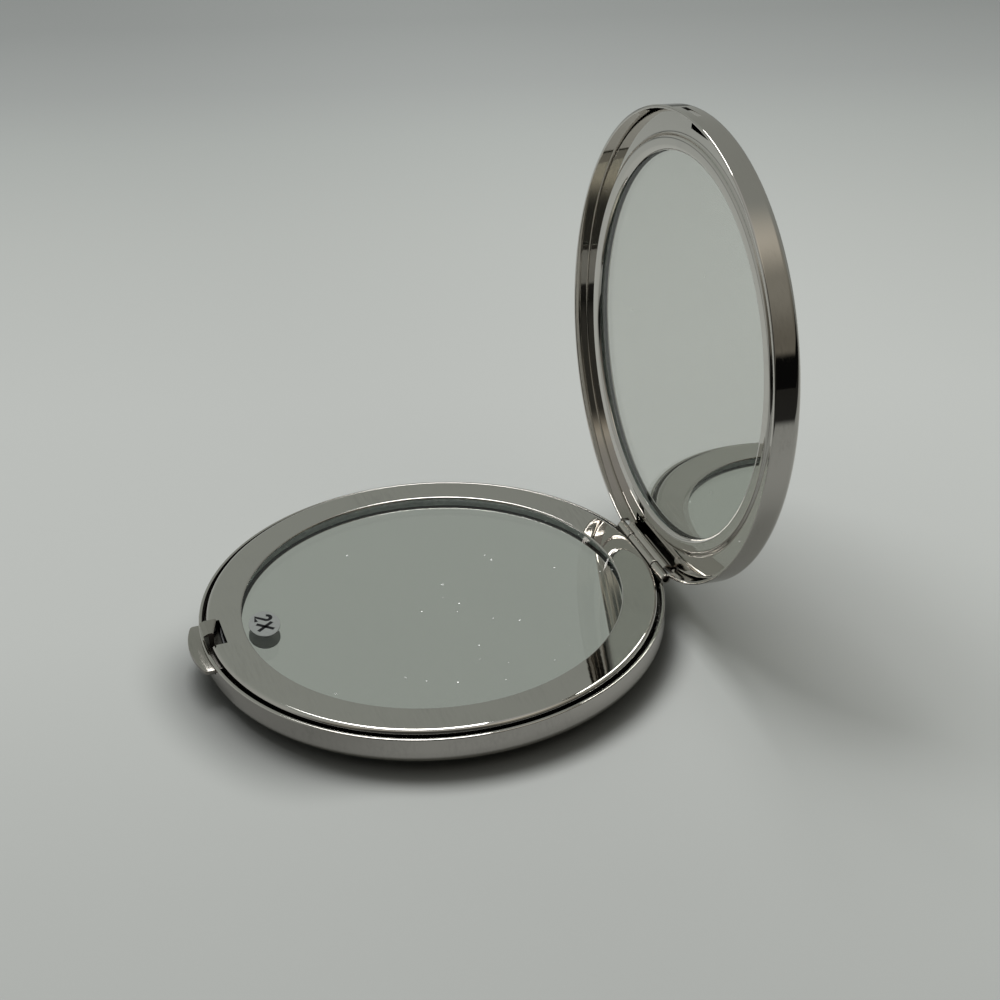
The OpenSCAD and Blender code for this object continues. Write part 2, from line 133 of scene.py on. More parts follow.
def lathe(outline: Sequence[Point], segments: int) -> Mesh:
    """Turns a closed outline, given as radius and height, round the Z axis.

    Args:
        outline: the points of the outline.
        segments: how many steps the turn has.

    Returns:
        A closed mesh in millimetres.
    """
    bm = bmesh.new()
    rings = []
    for j in range(segments):
        a = FULL_TURN * j / segments
        rings.append([bm.verts.new((r * math.cos(a), r * math.sin(a), h)) for r, h in outline])
    for j, ring in enumerate(rings):
        following = rings[(j + 1) % segments]
        for i in range(len(outline)):
            k = (i + 1) % len(outline)
            if max(outline[i][0], outline[k][0]) >= SAME_VERTEX:
                bm.faces.new((ring[i], following[i], following[k], ring[k]))
    bmesh.ops.remove_doubles(bm, verts=bm.verts, dist=SAME_VERTEX)
    bmesh.ops.dissolve_degenerate(bm, dist=NO_LENGTH, edges=bm.edges)
    bmesh.ops.recalc_face_normals(bm, faces=bm.faces)
    return bm


def loft(bm: Mesh, rows: Iterable[Sequence[Place]]) -> Mesh:
    """Adds a closed solid that follows rows of matching points.

    Args:
        bm: the mesh that it is added to.
        rows: the closed outlines that it passes through, in order.

    Returns:
        The same mesh.
    """
    made = [[bm.verts.new(place) for place in row] for row in rows]
    for row, following in zip(made, made[1:]):
        for i in range(len(row)):
            k = (i + 1) % len(row)
            bm.faces.new((row[i], row[k], following[k], following[i]))
    bm.faces.new(list(reversed(made[0])))
    bm.faces.new(made[-1])
    bmesh.ops.recalc_face_normals(bm, faces=bm.faces)
    return bm


def along_x(outline: Sequence[Point], span: Span) -> Mesh:
    """Stretches a closed outline, drawn in Y and height, along X."""
    return loft(bmesh.new(), [[(x, y, z) for y, z in outline] for x in span])


def upward(outline: Sequence[Point], span: Span) -> Mesh:
    """Stretches a closed outline, drawn in X and Y, between two heights."""
    return loft(bmesh.new(), [[(x, y, z) for x, y in outline] for z in span])


def block(x: Span, y: Span, z: Span) -> Mesh:
    """A box between two places along each axis, which cuts a notch or a slot."""
    return upward([(x[0], y[0]), (x[1], y[0]), (x[1], y[1]), (x[0], y[1])], z)


def soften(bm: Mesh, width: float, steps: int, least_angle: float) -> Mesh:
    """Rounds the sharp edges of a small piece.

    Args:
        bm: the mesh, which is changed.
        width: how far the rounding reaches from the edge, in millimetres.
        steps: how many faces it has.
        least_angle: the angle in degrees from which an edge counts as sharp.

    Returns:
        The same mesh.
    """
    least = math.radians(least_angle)
    sharp = [e for e in bm.edges if len(e.link_faces) == 2 and e.calc_face_angle() > least]
    bmesh.ops.bevel(
        bm, geom=sharp, offset=width, segments=steps, profile=0.5, affect="EDGES", clamp_overlap=True
    )
    return bm


def linked(name: str, data: bpy.types.ID) -> bpy.types.Object:
    """Adds an object to the scene.

    Args:
        name: its name.
        data: its mesh, lamp or camera.

    Returns:
        The object.
    """
    made = bpy.data.objects.new(name, data)
    bpy.context.scene.collection.objects.link(made)
    return made


def as_object(bm: Mesh, name: str) -> bpy.types.Object:
    """Adds a mesh to the scene as an object.

    Args:
        bm: the mesh, which is freed.
        name: the object's name.

    Returns:
        The object.
    """
    mesh = bpy.data.meshes.new(name)
    bm.to_mesh(mesh)
    bm.free()
    return linked(name, mesh)


class Together(Enum):
    """What is done with meshes that meet."""

    CUT = "DIFFERENCE"
    JOIN = "UNION"


def combine(body: Mesh, others: Iterable[Mesh], how: Together) -> Mesh:
    """Cuts meshes out of a body, or joins them to it.

    Args:
        body: the mesh that is kept.
        others: the meshes that cut it or join it.
        how: which of the two.

    Returns:
        The new closed mesh.
    """
    held = as_object(body, "held")
    tools = [as_object(other, "tool") for other in others]
    for tool in tools:
        step = held.modifiers.new("step", "BOOLEAN")
        step.operation, step.solver, step.object = how.value, "EXACT", tool
    bpy.context.view_layer.update()
    done = bmesh.new()
    done.from_object(held, bpy.context.evaluated_depsgraph_get())
    for temporary in (held, *tools):
        mesh = temporary.data
        bpy.data.objects.remove(temporary)
        bpy.data.meshes.remove(mesh)
    return done


@dataclass(frozen=True)
class Seat:
    """Where heights start, the CAD body that the pieces there ride on, and what dresses them."""

    body: str
    place: Matrix
    finishes: Finishes

    @property
    def front(self) -> Vector:
        """The direction that its heights are counted in."""
        return (self.place.to_3x3() @ UP).normalized()

    def put(
        self, bm: Mesh, name: str, dress: Sequence[Finish], slot: str, node: str = "", sharp: float = 38.0
    ) -> Piece:
        """Turns a mesh in millimetres into a finished piece.

        Args:
            bm: the mesh, drawn in this seat's own heights.
            name: the piece's name.
            dress: its finishes; all its faces start with the first.
            slot: the record's material slot; it is not used.
            node: the CAD node that it stands for, if there is one.
            sharp: edges above this angle, in degrees, stay crisp.

        Returns:
            The piece.
        """
        bm.transform(Matrix.Scale(MM, 4) @ self.place)
        bmesh.ops.recalc_face_normals(bm, faces=bm.faces)
        for face in bm.faces:
            face.smooth = True
        piece = as_object(bm, name)
        piece.data.set_sharp_from_angle(angle=math.radians(sharp))
        for finish in dress:
            piece.data.materials.append(self.finishes.get(finish))
        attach(piece, self.body)
        if node:
            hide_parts(node)
        log.info("%s: %d faces on %s", name, len(piece.data.polygons), self.body)
        return piece


def repaint(piece: Piece, index: int, chosen: Callable[[Vector, Vector], bool]) -> None:
    """Gives another of a piece's finishes to the faces that a test picks.

    Args:
        piece: the piece.
        index: which of its finishes, counted from 0.
        chosen: the test, on a face's middle in millimetres and its normal.
    """
    for face in piece.data.polygons:
        if chosen(face.center / MM, face.normal):
            face.material_index = index


def silver_back(glass: Piece, front: Vector) -> None:
    """Gives a glass its silvered back and its ground edge, the second and third of its finishes."""
    repaint(glass, 1, lambda at, way: way.dot(front) < -FACING)
    repaint(glass, 2, lambda at, way: abs(way.dot(front)) <= FACING)


# ---- shader nodes


class Graph:
    """A node tree that is written in code."""

    def __init__(self, tree: bpy.types.NodeTree) -> None:
        """Keeps the tree."""
        self.tree = tree

    def add(self, kind: str, **settings: object) -> Node:
        """Adds a node.

        Args:
            kind: the node's type.
            settings: what Graph.set takes.

        Returns:
            The node.
        """
        node = self.tree.nodes.new(kind)
        self.set(node, **settings)
        return node

    def set(self, node: Node, **settings: object) -> None:
        """Sets up a node.

        Args:
            node: the node.
            settings: its properties, or its inputs by name with underscores for spaces.
        """
        for name, value in settings.items():
            if hasattr(node, name):
                setattr(node, name, value)
            else:
                self.feed(node.inputs[name.replace("_", " ")], value)

    def feed(self, socket: Socket, value: object) -> None:
        """Feeds an input.

        Args:
            socket: the input.
            value: a socket to link to it, or the value to set.
        """
        if isinstance(value, Socket):
            self.tree.links.new(value, socket)
        elif isinstance(value, tuple) and len(value) == 3 and socket.type == "RGBA":
            socket.default_value = (*value, 1.0)
        else:
            socket.default_value = value

    def fill(self, node: Node, *values: object) -> Socket:
        """Feeds a node's inputs in order.

        Args:
            node: the node.
            values: sockets or numbers.

        Returns:
            Its first output.
        """
        for socket, value in zip(node.inputs, values):
            self.feed(socket, value)
        return node.outputs[0]

    def calc(self, how: str, *terms: object) -> Socket:
        """A math node on sockets or numbers."""
        return self.fill(self.add("ShaderNodeMath", operation=how), *terms)

    def times(self, *terms: object) -> Socket:
        """The product of sockets or numbers."""
        return reduce(lambda product, term: self.calc("MULTIPLY", product, term), terms)

    def ramp(
        self, value: object, low: object, high: float, first: object = 0.0, last: object = 1.0
    ) -> Socket:
        """A smooth step between two places of a value, from one result to another."""
        node = self.add("ShaderNodeMapRange", interpolation_type="SMOOTHSTEP")
        return self.fill(node, value, low, high, first, last)

    def blend(self, share: object, first: object, second: object) -> Socket:
        """Mixes two colours.

        Args:
            share: how much of the second there is, from 0 to 1.
            first: a colour or its socket.
            second: the other.

        Returns:
            The mixed colour.
        """
        node = self.add("ShaderNodeMix", data_type="RGBA")
        for i, value in ((0, share), (6, first), (7, second)):
            self.feed(node.inputs[i], value)
        return node.outputs[2]

    def here(self) -> Socket:
        """The place on the object."""
        return self.add("ShaderNodeTexCoord").outputs["Object"]

    def noise(self, where: object, scale: float, detail: float, rough: float) -> Socket:
        """A noise value at a place."""
        node = self.add("ShaderNodeTexNoise", Vector=where, Scale=scale, Detail=detail, Roughness=rough)
        return node.outputs["Fac"]

    def stretched(self, where: object, scale: Place, turn: Place = (0.0, 0.0, 0.0)) -> Socket:
        """A place that is scaled, so that a noise on it is drawn out."""
        return self.add("ShaderNodeMapping", Vector=where, Scale=scale, Rotation=turn).outputs[0]

    def bump(self, depth: float, height: Socket) -> Socket:
        """The normal on a relief that is as many millimetres deep."""
        return self.add("ShaderNodeBump", Strength=1.0, Distance=depth * MM, Height=height).outputs[0]


def group(name: str, inputs: dict[str, float], outputs: Sequence[str]) -> tuple[Graph, Node, Node]:
    """Starts a shader node group of number sockets.

    Args:
        name: the group's name.
        inputs: its inputs, with their defaults.
        outputs: its outputs.

    Returns:
        Its graph, and the nodes that hold its inputs and its outputs.
    """
    tree = bpy.data.node_groups.new(name, "ShaderNodeTree")
    for label, value in inputs.items():
        tree.interface.new_socket(label, in_out="INPUT", socket_type="NodeSocketFloat").default_value = value
    for label in outputs:
        tree.interface.new_socket(label, in_out="OUTPUT", socket_type="NodeSocketFloat")
    graph = Graph(tree)
    return graph, graph.add("NodeGroupInput"), graph.add("NodeGroupOutput")


class SharedEffects:
    """Shader groups that more than one finish uses."""

    def __init__(self) -> None:
        """Builds each group once."""
        self.handling = self._handling()
        self.ripples = self._ripples()
        self.dust = self._dust()

    @staticmethod
    def _handling() -> bpy.types.NodeTree:
        """Wiping marks and hairlines.

        Returns:
            The group, with a mask of haze and a height.
        """
        g, given, out = group("handling_marks", {"Hairlines": 1.0}, ("Haze", "Height"))
        where = g.here()
        cloud = g.ramp(g.noise(where, 90.0, 4.0, 0.6), 0.42, 0.72)
        wipes = g.noise(g.stretched(where, (260.0, 2400.0, 900.0), (0.3, 0.2, 0.7)), 1.0, 3.0, 0.7)
        lines = []
        for scale, turn in (
            ((150.0, 5200.0, 5200.0), (0.1, 0.0, 0.5)),
            ((4300.0, 120.0, 4300.0), (0.0, 0.3, 1.1)),
        ):
            drawn = g.noise(g.stretched(where, scale, turn), 1.0, 1.0, 0.4)
            lines.append(g.ramp(drawn, 0.70, 0.74))
        height = g.times(g.calc("ADD", *lines), given.outputs["Hairlines"])
        g.set(out, Haze=g.times(cloud, g.ramp(wipes, 0.35, 0.75)), Height=height)
        return g.tree

    @staticmethod
    def _ripples() -> bpy.types.NodeTree:
        """Small waves in drawn sheet, which break up a highlight along an edge.

        Returns:
            The group, with a height.
        """
        g, given, out = group("drawing_ripples", {"Depth": 1.0}, ("Height",))
        where = g.here()
        fine = g.noise(g.stretched(where, (1.0, 1.0, 0.4)), 1500.0, 2.0, 0.6)
        broad = g.noise(g.stretched(where, (1.0, 1.0, 0.5)), 420.0, 1.0, 0.5)
        g.set(out, Height=g.times(g.calc("ADD", g.times(fine, 0.35), broad), given.outputs["Depth"]))
        return g.tree

    @staticmethod
    def _dust() -> bpy.types.NodeTree:
        """Scattered specks of dust.

        Returns:
            The group, with a mask.
        """
        g, given, out = group("dust_specks", {"Amount": 0.5}, ("Mask",))
        cells = g.add("ShaderNodeTexVoronoi", Vector=g.here(), Scale=520.0, Randomness=1.0)
        spot = g.ramp(cells.outputs["Distance"], 0.06, 0.11, 1.0, 0.0)
        chance = g.add("ShaderNodeSeparateColor", Color=cells.outputs["Color"]).outputs[0]
        g.set(out, Mask=g.times(spot, g.calc("LESS_THAN", chance, given.outputs["Amount"])))
        return g.tree


def new_material(name: str) -> tuple[Material, Graph, Node]:
    """Starts a material.

    Args:
        name: its name.

    Returns:
        The material, its graph, and a Principled shader joined to its output.
    """
    material = bpy.data.materials.new(name)
    material.use_nodes = True
    material.node_tree.nodes.clear()
    g = Graph(material.node_tree)
    shader = g.add("ShaderNodeBsdfPrincipled")
    g.add("ShaderNodeOutputMaterial", Surface=shader.outputs[0])
    return material, g, shader


@dataclass(frozen=True)
class Coat:
    """What every finish has: its name and its main colour."""

    name: str
    colour: Colour

    def build(self, effects: SharedEffects) -> Material:
        """Builds the material.

        Args:
            effects: the shared shader groups.

        Returns:
            The material.
        """
        material, g, shader = new_material(self.name)
        g.set(shader, **self.sockets(g, effects))
        return material

    def sockets(self, g: Graph, effects: SharedEffects) -> dict[str, object]:
        """What feeds the shader: each finish gives its own."""
        raise NotImplementedError


@dataclass(frozen=True)
class PlatedMetal(Coat):
    """Bright plated or bare metal, with wiping marks, hairlines and ripples from drawing."""

    hazed: Colour
    roughness: float
    haze: float
    hairlines: float
    ripples: float
    depth: float
    hairline_depth: float = 0.02

    def sockets(self, g: Graph, effects: SharedEffects) -> dict[str, object]:
        """What feeds the shader.

        Args:
            g: the material's graph.
            effects: the shared shader groups.

        Returns:
            Values and sockets by the shader's input.
        """
        marks = g.add("ShaderNodeGroup", node_tree=effects.handling, Hairlines=self.hairlines)
        waves = g.add("ShaderNodeGroup", node_tree=effects.ripples, Depth=self.ripples)
        hazy = marks.outputs["Haze"]
        relief = g.calc("ADD", g.times(marks.outputs["Height"], self.hairline_depth), waves.outputs["Height"])
        return {
            "Metallic": 1.0,
            "Base_Color": g.blend(hazy, self.colour, self.hazed),
            "Roughness": g.calc("MULTIPLY_ADD", hazy, self.haze, self.roughness),
            "Normal": g.bump(self.depth, relief),
        }


@dataclass(frozen=True)
class ClearGlass(Coat):
    """The front of a mirror's glass, with a few smears."""

    smeared: Colour
    index: float = 1.52
    smear_roughness: float = 0.012

    def sockets(self, g: Graph, effects: SharedEffects) -> dict[str, object]:
        """What feeds the shader: smears come from the shared wiping marks.

        Args:
            g: the material's graph.
            effects: the shared shader groups.

        Returns:
            Values and sockets by the shader's input.
        """
        hazy = g.add("ShaderNodeGroup", node_tree=effects.handling, Hairlines=0.0).outputs["Haze"]
        return {
            "IOR": self.index,
            "Transmission_Weight": 1.0,
            "Base_Color": g.blend(hazy, self.colour, self.smeared),
            "Roughness": g.times(hazy, self.smear_roughness),
        }


@dataclass(frozen=True)
class Silvering(Coat):
    """The silvered back of a mirror's glass, with the dust on the glass shown as faint specks in it."""

    speck: Colour
    specks: float
    speck_roughness: float = 0.5

    def sockets(self, g: Graph, effects: SharedEffects) -> dict[str, object]:
        """What feeds the shader: specks come from the shared dust.

        Args:
            g: the material's graph.
            effects: the shared shader groups.

        Returns:
            Values and sockets by the shader's input.
        """
        dusty = g.add("ShaderNodeGroup", node_tree=effects.dust, Amount=self.specks).outputs["Mask"]
        return {
            "Metallic": 1.0,
            "Base_Color": g.blend(dusty, self.colour, self.speck),
            "Roughness": g.times(dusty, self.speck_roughness),
        }


@dataclass(frozen=True)
class SoftFilm(Coat):
    """Foam, tape, paper film, print and ground glass: matt, with a fine grain."""

    second: Colour
    roughness: float
    grain: float
    grain_scale: float
    gloss: float = 0.5
    dust: float = 0.15
    unevenness: float = 0.15

    def sockets(self, g: Graph, effects: SharedEffects) -> dict[str, object]:
        """What feeds the shader: the shared dust breaks up the colour.

        Args:
            g: the material's graph.
            effects: the shared shader groups.

        Returns:
            Values and sockets by the shader's input.
        """
        cells = g.noise(g.here(), self.grain_scale, 4.0, 0.65)
        dusty = g.add("ShaderNodeGroup", node_tree=effects.dust, Amount=self.dust).outputs["Mask"]
        mixed = g.blend(g.ramp(cells, 0.35, 0.7), self.colour, self.second)
        return {
            "Specular_IOR_Level": self.gloss,
            "Base_Color": g.blend(dusty, mixed, self.second),
            "Roughness": g.calc("MULTIPLY_ADD", cells, self.unevenness, self.roughness),
            "Normal": g.bump(self.grain, cells),
        }


class Finish(Enum):
    """The finishes of this compact."""

    SHELL = PlatedMetal("shell_nickel", (0.60, 0.575, 0.54), (0.52, 0.50, 0.47), 0.035, 0.08, 1.0, 0.4, 0.006)
    BEZEL = PlatedMetal("bezel_nickel", (0.61, 0.59, 0.555), (0.55, 0.53, 0.50), 0.02, 0.05, 0.6, 0.3, 0.006)
    HINGE = PlatedMetal("hinge_nickel", (0.56, 0.53, 0.49), (0.47, 0.445, 0.41), 0.09, 0.10, 1.5, 1.0, 0.010)
    BUTTON = PlatedMetal("button_nickel", (0.46, 0.435, 0.40), (0.37, 0.35, 0.32), 0.07, 0.12, 1.5, 1.2, 0.012)
    RAW = PlatedMetal("sheared_steel", (0.20, 0.175, 0.165), (0.10, 0.09, 0.085), 0.34, 0.25, 3.0, 3.0, 0.03)
    # Painted shade: a dark nickel for faces in the groove by the bezel, under the bezels and inside the wall,
    # where shade falls
    PAINTED_SHADE = PlatedMetal("painted_shade_nickel", (0.07, 0.066, 0.06), (0.04, 0.038, 0.035), 0.22, 0.2, 1.0, 1.0, 0.01)
    SPRING = PlatedMetal("spring_steel", (0.14, 0.14, 0.145), (0.08, 0.08, 0.085), 0.3, 0.2, 2.0, 0.6, 0.01)
    GLASS = ClearGlass("clear_glass", (0.975, 0.99, 0.975), (0.955, 0.965, 0.955))
    SILVER_BASE = Silvering("silver_behind_magnifier", (0.86, 0.87, 0.845), (0.96, 0.96, 0.95), 0.16)
    SILVER_LID = Silvering("silver_behind_plain_glass", (0.80, 0.805, 0.78), (0.92, 0.92, 0.91), 0.04)
    EDGE = SoftFilm("ground_glass_edge", (0.34, 0.40, 0.37), (0.24, 0.29, 0.27), 0.5, 0.01, 900.0)
    FOAM = SoftFilm("black_foam", (0.030, 0.031, 0.033), (0.055, 0.056, 0.06), 0.8, 0.12, 2600.0)
    TAPE = SoftFilm("tape_film", (0.62, 0.60, 0.52), (0.50, 0.48, 0.42), 0.55, 0.02, 1400.0)
    FILM = SoftFilm("silver_film", (0.235, 0.25, 0.24), (0.215, 0.225, 0.22), 0.5, 0.008, 1800.0, 0.4)
    INK = SoftFilm("black_print", (0.010, 0.010, 0.011), (0.020, 0.020, 0.022), 0.6, 0.006, 2500.0, 0.05)


class Finishes:
    """Builds each finish once and hands it out."""

    def __init__(self) -> None:
        """Starts with the shared effects and no finish."""
        self.effects = SharedEffects()
        self.made: dict[Finish, Material] = {}

    def get(self, finish: Finish) -> Material:
        """Hands out a finish.

        Args:
            finish: the finish.

        Returns:
            Its material.
        """
        if finish not in self.made:
            self.made[finish] = finish.value.build(self.effects)
        return self.made[finish]

    def dress_node(self, node: str, finish: Finish) -> None:
        """Gives a CAD node that keeps its solid a finish.

        Args:
            node: the node's name.
            finish: the finish.
        """
        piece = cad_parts[node]
        piece.data.materials.clear()
        piece.data.materials.append(self.get(finish))
        log.info("%s keeps its solid, in %s", node, finish.value.name)


# ---- sizes that the sub-assemblies share


@dataclass(frozen=True)
class Case:
    """The compact's main sizes."""

    radius: float = 35.0
    sheet: float = 0.5
    base_h: float = 4.2
    lid_h: float = 4.2
    face_rise: float = 1.6
    panel_r: float = 24.5
    ring_r: float = 29.8
    base_corner: float = 1.3
    lid_corner: float = 1.1
    seam: float = 0.12
    open_angle: float = 94.7
    hinge_y: float = 34.4
    hinge_rise: float = 0.26
    barrel_r: float = 0.8
    notch_x: Span = (-8.6, 9.3)
    tab: Span = (-1.15, -0.45)
    above: float = 1.0
    segments: int = 288

    @property
    def inner(self) -> float:
        """Inside radius of the shells' walls."""
        return self.radius - self.sheet

    @property
    def beyond(self) -> float:
        """How far a cutter reaches, past the shells' walls."""
        return self.radius + 1

    @property
    def base_lip(self) -> float:
        """Height of the base's lip above the table."""
        return self.face_rise + self.base_h

    def base_seat(self, finishes: Finishes, body: str = "base") -> Seat:
        """The seat of pieces drawn from the base's lip, which ride on the base or another body."""
        return Seat(body, Matrix.Translation((0, 0, self.base_lip)), finishes)

    def lid_seat(self, finishes: Finishes) -> Seat:
        """Works out the seat of pieces drawn from the lid's lip, out of the lid.

        Args:
            finishes: the finishes.

        Returns:
            The seat.
        """
        pivot = Vector((0, self.hinge_y, self.base_lip + self.hinge_rise))
        place = (
            Matrix.Translation(pivot)
            @ Matrix.Rotation(math.radians(-self.open_angle), 4, "X")
            @ Matrix.Translation(-pivot)
            @ Matrix.Translation((0, 0, self.base_lip + self.seam))
            @ Matrix.Scale(-1, 4, (0, 0, 1))
        )
        return Seat("lid", place, finishes)

    def cup(self, height: float, corner: float) -> Mesh:
        """A drawn cup with its lip at height zero, rolled over, and its face pressed out to a round panel.

        Args:
            height: from the flat ring at the wall's foot up to the lip.
            corner: outside radius of the corner at the wall's foot.

        Returns:
            A closed mesh in millimetres.
        """
        low, floor = -height, self.sheet - height
        panel, panel_floor = low - self.face_rise, floor - self.face_rise
        width = self.ring_r - self.panel_r
        bend = (width**2 + self.face_rise**2) / (4 * self.face_rise)
        lean = self.face_rise / width
        tight, wide = bend - self.sheet, bend + self.sheet
        outline = rounded(
            [
                Corner(0, panel),
                Corner(self.panel_r + bend * lean, panel, bend * 0.999, 12),
                Corner(self.ring_r - bend * lean, low, bend * 0.999, 12),
                Corner(self.radius, low, corner, 10),
                Corner(self.radius, 0, 0.2, 5),
                Corner(self.inner, 0, 0.09, 3),
                Corner(self.inner, floor, corner - self.sheet, 6),
                Corner(self.ring_r - wide * lean, floor, wide * 0.999, 6),
                Corner(self.panel_r + tight * lean, panel_floor, tight * 0.999, 6),
                Corner(0, panel_floor),
            ]
        )
        return lathe(outline, self.segments)

    def hinge_notch(self, low: float) -> Mesh:
        """The cutter for the notch that the barrel lies in."""
        return block(self.notch_x, (self.hinge_y - 2 * self.barrel_r, self.beyond), (low, self.above))


# ---- the base


@dataclass
class BaseHalf:
    """The base: its shell, bezel, magnifying glass, sticker and foam pad."""

    case: Case
    finishes: Finishes
    notch_h: float = -1.25
    groove_half: float = 0.05
    groove_top: float = -0.6
    window_r: float = 28.6
    bezel_rise: float = 0.63
    bezel_sheet: float = 0.3
    bezel_edge: float = 0.65
    skirt_r: float = 33.9
    grip_r: float = 34.48
    step_h: float = -1.5
    grip_h: float = 0.8
    hook_cut_x: Span = (-4.75, 1.55)
    hook_cut_y: float = -31.58
    barrel_room: float = 0.2
    leaf_room: float = -0.35
    slide_half: float = 6.22
    run_gap: float = 0.12
    glass_r: float = 29.3
    glass_edge: float = 2.1
    glass_back_r: float = 760.0
    glass_steps: int = 24
    sticker_half: Point = (3.35, 2.3)
    sticker_t: float = 0.12
    sticker_glue: float = 0.01
    sticker_place: float = 25.5
    sticker_turn: float = -3.5
    stroke_half: float = 0.28
    ink_t: float = 0.012

    def build(self) -> None:
        """Builds the base's pieces in order."""
        self.seat = self.case.base_seat(self.finishes)
        self.glass_top = self.bezel_rise - self.bezel_sheet
        self.shell()
        self.bezel()
        self.glass()
        self.sticker()
        self.finishes.dress_node("base_mirror_pad", Finish.FOAM)

    def slide_slot(self, end: float, room: float) -> Mesh:
        """The cutter for the slot that the button's slide runs in, with its end and the room above it."""
        heights = (self.case.tab[0] - self.run_gap, self.case.tab[1] + room)
        return block((-self.slide_half, self.slide_half), (-self.case.beyond, end), heights)

    def shell(self) -> None:
        """The drawn shell, with its hinge notch and the button's slot."""
        case, half = self.case, self.groove_half
        cuts = [case.hinge_notch(case.hinge_rise + self.notch_h), self.slide_slot(-case.inner / 2, self.run_gap)]
        bm = combine(case.cup(case.base_h, case.base_corner), cuts, Together.CUT)
        dress = (Finish.SHELL, Finish.PAINTED_SHADE)
        piece = self.seat.put(bm, "base_shell_drawn", dress, "shell_metal", "base_shell")
        # The shell's inner wall down in the groove gets a painted shade
        self.paint_groove_shade(piece, (case.inner - half, case.inner + half), self.groove_top)

    def bezel(self) -> None:
        """The flat ring with its rolled edge and skirt, notched for the hook."""
        t, top, step = self.bezel_sheet, self.bezel_rise, self.step_h
        foot = step - t - self.grip_h
        outline = rounded(
            [
                Corner(self.window_r, top - t, 0.05, 2),
                Corner(self.window_r, top, 0.22, 6),
                Corner(self.skirt_r, top, self.bezel_edge, 12),
                Corner(self.skirt_r, step, 0.12, 3),
                Corner(self.grip_r, step, 0.1, 3),
                Corner(self.grip_r, foot),
                Corner(self.grip_r - t, foot),
                Corner(self.grip_r - t, step - t),
                Corner(self.skirt_r - t, step - t),
                Corner(self.skirt_r - t, top - t, self.bezel_edge - t, 6),
            ]
        )
        case = self.case
        deep, high = -case.base_h, top + case.above
        barrel_y = case.hinge_y - case.barrel_r - self.barrel_room
        cuts = [
            block(self.hook_cut_x, (-case.beyond, self.hook_cut_y), (case.tab[0], high)),
            self.slide_slot(-self.window_r, 2 * self.run_gap),
            block(case.notch_x, (barrel_y, case.beyond), (deep, high)),
            block(case.notch_x, (self.window_r, case.beyond), (deep, self.leaf_room)),
        ]
        bm = combine(lathe(outline, case.segments), cuts, Together.CUT)
        dress = (Finish.BEZEL, Finish.PAINTED_SHADE)
        piece = self.seat.put(bm, "base_bezel_ring", dress, "bezel_metal", "base_bezel")
        # Painted shade on the skirt down in the groove and on the underside against the glass
        self.paint_groove_shade(piece, (self.skirt_r - t, case.inner), top - 0.8 * self.bezel_edge)
        repaint(piece, 1, lambda at, way: way.dot(UP) < -FACING)

    def paint_groove_shade(self, piece: Piece, radii: Span, top: float) -> None:
        """Paints shade on the walls of the narrow groove beside the bezel, with the dark painted-shade finish.

        Args:
            piece: the shell or the bezel, which has that finish as its second.
            radii: where the groove starts and ends.
            top: height from the base's lip under which it lies.
        """
        below = self.case.base_lip + top
        repaint(piece, 1, lambda at, way: radii[0] < math.hypot(at.x, at.y) < radii[1] and at.z < below)

    def glass(self) -> None:
        """The magnifying glass: a clear front over a silvered, bulging back."""
        edge_h = self.glass_top - self.glass_edge
        sag = math.sqrt(self.glass_back_r**2 - self.glass_r**2)
        radii = [self.glass_r * (1 - k / self.glass_steps) for k in range(self.glass_steps + 1)]
        back = [(r, edge_h + sag - math.sqrt(self.glass_back_r**2 - r**2)) for r in radii]
        bm = lathe([(0.0, self.glass_top), (self.glass_r, self.glass_top), *back], self.case.segments)
        dress = (Finish.GLASS, Finish.SILVER_BASE, Finish.EDGE)
        piece = self.seat.put(bm, "magnifying_glass", dress, "magnifying_glass", "base_mirror", 20.0)
        silver_back(piece, UP)

    def sticker(self) -> None:
        """The oval sticker with its generic magnification number."""
        turn = Matrix.Rotation(math.radians(self.sticker_turn), 4, "Z")
        centre = turn @ Vector((0, -self.sticker_place, self.glass_top))
        seat = Seat("base", self.seat.place @ Matrix.Translation(centre) @ turn, self.finishes)
        glue, top = self.sticker_glue, self.sticker_t
        long_r, short_r = self.sticker_half
        corners = [Corner(0, glue), Corner(long_r, glue), Corner(long_r, top, 0.05, 3), Corner(0, top)]
        oval = lathe(rounded(corners, 0.01), 96)
        oval.transform(Matrix.Diagonal((1.0, short_r / long_r, 1.0, 1.0)))
        seat.put(oval, "magnifier_sticker", (Finish.FILM,), "sticker_film", "magnification_sticker")
        turns = [math.pi - 0.24 * k for k in range(15)]
        bowl = [(-1.45 + 0.62 * math.cos(a), 0.55 + 0.60 * math.sin(a)) for a in turns]
        strokes = [
            [*bowl, (-2.07, -1.10), (-0.80, -1.10)],
            [(-0.15, 1.15), (1.75, -1.15)],
            [(1.75, 1.15), (-0.15, -1.15)],
        ]
        ink = bmesh.new()
        for stroke in strokes:
            add_stroke(ink, stroke, self.stroke_half, (top, top + self.ink_t))
        seat.put(ink, "sticker_number", (Finish.INK,), "sticker_film")


def add_stroke(bm: Mesh, path: Sequence[Point], half: float, heights: Span) -> None:
    """Adds one printed stroke of even width to a mesh.

    Args:
        bm: the mesh.
        path: the stroke's middle line.
        half: half its width.
        heights: those of its underside and its face.
    """
    points = [Vector(p) for p in path]
    low, high = heights
    rows = []
    for i, p in enumerate(points):
        before = points[max(i - 1, 0)]
        after = points[min(i + 1, len(points) - 1)]
        along = (after - before).normalized()
        across = Vector((-along.y, along.x)) * half
        a, b = p + across, p - across
        rows.append([(side.x, side.y, h) for side, h in ((a, low), (b, low), (b, high), (a, high))])
    loft(bm, rows)


# ---- the lid


